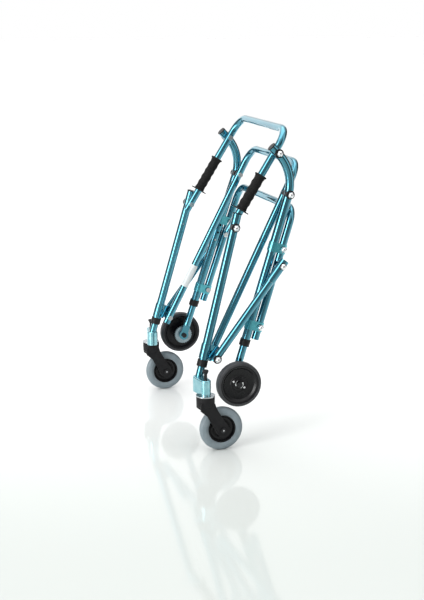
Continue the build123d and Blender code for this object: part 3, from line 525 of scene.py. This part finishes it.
# ------------------------------------------------------------------ grips
GRIP_START = 0.05
GRIP_LENGTH = 0.114
GRIP_RADIUS = 0.0146
GRIP_BORE = 0.0112
SWELL, SWELLS = 0.0007, 5
RIBS, RIB_DEPTH = 30, 0.0009
joint_at = {joint["name"]: Vector(joint["pos_m"])
            for joint in frame["record"]["behaviour"]["joints"] if "pos_m" in joint}
along = (joint_at["rear_fold"] - joint_at["fold"]).normalized()


def grip_profile():
    """A grip's section: a thin front flange, finger swells with ribs, and an end bead."""
    profile = [(GRIP_BORE, 0.0), (0.0245, 0.0002), (0.025, 0.0012), (0.0247, 0.0024),
               (0.0165, 0.0032)]
    start, stop = 0.0055, GRIP_LENGTH - 0.0065
    step = (stop - start) / RIBS
    for i in range(RIBS):
        a = start + step * i
        swell = GRIP_RADIUS + SWELL * math.cos(2 * math.pi * SWELLS * (i + 0.5) / RIBS)
        profile += [(swell - RIB_DEPTH, a), (swell, a + step * 0.22),
                    (swell, a + step * 0.74), (swell - RIB_DEPTH, a + step * 0.96)]
    return profile + [(GRIP_RADIUS, stop), (0.0172, GRIP_LENGTH - 0.0042),
                      (0.018, GRIP_LENGTH - 0.003), (0.018, GRIP_LENGTH - 0.001),
                      (0.0172, GRIP_LENGTH - 0.0001), (GRIP_BORE, GRIP_LENGTH)]


for side_name, _ in SIDES:
    base = Vector((middle(f"grip_{side_name}").x, *joint_at["fold"].yz)) + along * GRIP_START
    bm = bmesh.new()
    lathe(bm, base, along, grip_profile(), 72)
    finish_piece(f"hand_grip_{side_name}", bm, grip_foam, "handlebar",
                 (f"grip_{side_name}",), sharp=50)


# ------------------------------------------------------------------ blank label
def label_wrap():
    """A blank label curled over the outer half of the scissor tube."""
    inset = Vector((0.0114, 0.0102, -0.0051))
    inside, outside = 0.01112, 0.01138
    steps, spread = 24, 200
    low, high = corners("scissor_label")
    near_end = Vector((high.x, high.y, low.z)) - inset
    far_end = Vector((low.x, low.y, high.z)) + inset
    run = (far_end - near_end).normalized()
    facing = Vector((-1, 0.25, 0.1))
    facing = (facing - run * facing.dot(run)).normalized()
    beside = run.cross(facing)
    angles = [math.radians(-spread / 2 + spread * i / steps) for i in range(steps + 1)]
    bm = bmesh.new()
    rings = [[bm.verts.new(end + (facing * math.cos(a) + beside * math.sin(a)) * radius)
              for a in angles] for radius in (inside, outside) for end in (near_end, far_end)]
    for first, second in ((0, 1), (2, 3), (0, 2), (1, 3)):
        for i in range(steps):
            bm.faces.new((rings[first][i], rings[first][i + 1], rings[second][i + 1],
                          rings[second][i]))
    for i in (0, steps):
        bm.faces.new((rings[0][i], rings[1][i], rings[3][i], rings[2][i]))
    finish_piece("label_wrap", bm, label_white, "scissor", ("scissor_label",))


label_wrap()


# ------------------------------------------------------------------ floor, light, camera
FLOOR_HALF = 40.0
# direction and reach of the painted shade on the floor, grey near the camera fading to white
AWAY_FROM_CAMERA = (0.955, -0.297, 0)
FADE_REACH = 1.1
floor_mesh = bpy.data.meshes.new("floor")
floor_mesh.from_pydata([(-FLOOR_HALF, -FLOOR_HALF, 0), (FLOOR_HALF, -FLOOR_HALF, 0),
                        (FLOOR_HALF, FLOOR_HALF, 0), (-FLOOR_HALF, FLOOR_HALF, 0)],
                       [], [(0, 1, 2, 3)])
floor = bpy.data.objects.new("floor", floor_mesh)
bpy.context.scene.collection.objects.link(floor)
floor_mat = bpy.data.materials.new("floor")
floor_mat.use_nodes = True
ft = floor_mat.node_tree
gloss = ft.nodes["Principled BSDF"]
gloss.inputs["Roughness"].default_value = 0.07
gloss.inputs["Specular IOR Level"].default_value = 0.5
# painted shade on the floor: pale grey near the camera, fading to white behind the part
floor_place = ft.nodes.new("ShaderNodeTexCoord")
depth = ft.nodes.new("ShaderNodeVectorMath")
depth.operation = "DOT_PRODUCT"
depth.inputs[1].default_value = AWAY_FROM_CAMERA
ft.links.new(floor_place.outputs["Object"], depth.inputs[0])
fade = ft.nodes.new("ShaderNodeMapRange")
fade.interpolation_type = "SMOOTHSTEP"
fade.inputs["From Min"].default_value = -FADE_REACH
fade.inputs["From Max"].default_value = FADE_REACH
ft.links.new(depth.outputs["Value"], fade.inputs["Value"])
painted_shade_ramp = ft.nodes.new("ShaderNodeValToRGB")
painted_shade_ramp.color_ramp.elements[0].color = (0.63, 0.665, 0.64, 1)
painted_shade_ramp.color_ramp.elements[1].color = (1, 1, 1, 1)
ft.links.new(fade.outputs["Result"], painted_shade_ramp.inputs["Fac"])
ft.links.new(painted_shade_ramp.outputs["Color"], gloss.inputs["Base Color"])
floor_mesh.materials.append(floor_mat)

world = bpy.data.worlds.new("studio")
bpy.context.scene.world = world
world.use_nodes = True
wt = world.node_tree
wt.nodes.clear()


def wnode(kind, **inputs):
    """A world node with its input values."""
    node = wt.nodes.new(kind)
    for key, value in inputs.items():
        node.inputs[key].default_value = value
    return node


direction = wnode("ShaderNodeTexCoord")
split = wnode("ShaderNodeSeparateXYZ")
wt.links.new(direction.outputs["Generated"], split.inputs["Vector"])
azimuth = wnode("ShaderNodeMath")
azimuth.operation = "ARCTAN2"
wt.links.new(split.outputs["Y"], azimuth.inputs[0])
wt.links.new(split.outputs["X"], azimuth.inputs[1])
turns = wnode("ShaderNodeMapRange")
turns.inputs["From Min"].default_value = -math.pi
turns.inputs["From Max"].default_value = math.pi
wt.links.new(azimuth.outputs[0], turns.inputs["Value"])
bands = wnode("ShaderNodeValToRGB")
wt.links.new(turns.outputs["Result"], bands.inputs["Fac"])
# brightness round the horizon by azimuth in degrees, for the streaks on the tubes
STUDIO = [(-180, 0.35), (-168, 0.3), (-160, 0.06), (-144, 0.06), (-134, 1.2), (-112, 1.3),
          (-104, 0.25), (-82, 0.2), (-74, 0.06), (-46, 0.08), (-34, 0.95), (-4, 0.95),
          (4, 1.5), (24, 1.4), (33, 0.08), (54, 0.08), (62, 0.4), (96, 0.45), (103, 1.8),
          (109, 9.0), (122, 9.0), (128, 1.3), (137, 0.4), (152, 0.3), (180, 0.35)]
BRIGHTEST = 9.0
ZENITH = 1.3
stops = bands.color_ramp.elements
while len(stops) < len(STUDIO):
    stops.new(0.5)
for element, (degrees, value) in zip(stops, STUDIO):
    element.position = (degrees + 180) / 360
    element.color = (*[value / BRIGHTEST] * 3, 1)
# the bands give way to an even ceiling as rays rise
lift = wnode("ShaderNodeMapRange")
lift.inputs["From Min"].default_value = 0.35
lift.inputs["From Max"].default_value = 0.95
wt.links.new(split.outputs["Z"], lift.inputs["Value"])
level = wnode("ShaderNodeMix")
level.data_type = "RGBA"
wt.links.new(lift.outputs["Result"], level.inputs[0])
wt.links.new(bands.outputs["Color"], level.inputs[6])
level.inputs[7].default_value = (*[ZENITH / BRIGHTEST] * 3, 1)
studio = wnode("ShaderNodeBackground", Strength=BRIGHTEST)
wt.links.new(level.outputs[2], studio.inputs["Color"])
# the camera itself sees plain white
plain = wnode("ShaderNodeBackground", Color=(1, 1, 1, 1), Strength=1.0)
rays = wnode("ShaderNodeLightPath")
choice = wnode("ShaderNodeMixShader")
wt.links.new(rays.outputs["Is Camera Ray"], choice.inputs[0])
wt.links.new(studio.outputs[0], choice.inputs[1])
wt.links.new(plain.outputs[0], choice.inputs[2])
output = wnode("ShaderNodeOutputWorld")
wt.links.new(choice.outputs[0], output.inputs["Surface"])


def softbox(name, place, target, width, height, power):
    """A rectangular area light aimed at a target."""
    data = bpy.data.lights.new(name, "AREA")
    data.shape = "RECTANGLE"
    data.size = width
    data.size_y = height
    data.energy = power
    lamp = bpy.data.objects.new(name, data)
    lamp.location = place
    aim = Vector(target) - Vector(place)
    lamp.rotation_euler = aim.to_track_quat("-Z", "Y").to_euler()
    bpy.context.scene.collection.objects.link(lamp)


softbox("overhead", (0.3, 0.2, 3.2), (0, 0, 0.4), 3.0, 3.0, 40)
bpy.context.scene.view_settings.view_transform = "Standard"

# the photograph's view
camera_data = bpy.data.cameras.new("camera")
camera_data.sensor_width = 36
camera_data.sensor_fit = "HORIZONTAL"
camera_data.lens = 106.13
camera = bpy.data.objects.new("camera", camera_data)
camera.location = (-3.4854, 1.11575, 1.2259)
yaw, pitch = -0.302, -0.233
look = Vector((math.cos(pitch) * math.cos(yaw), math.cos(pitch) * math.sin(yaw),
               math.sin(pitch)))
right = Vector((math.sin(yaw), -math.cos(yaw), 0))
up = right.cross(look)
camera.matrix_world = Matrix.Translation(camera.location) @ Matrix(
    (right, up, -look)).transposed().to_4x4()
bpy.context.scene.collection.objects.link(camera)
bpy.context.scene.camera = camera
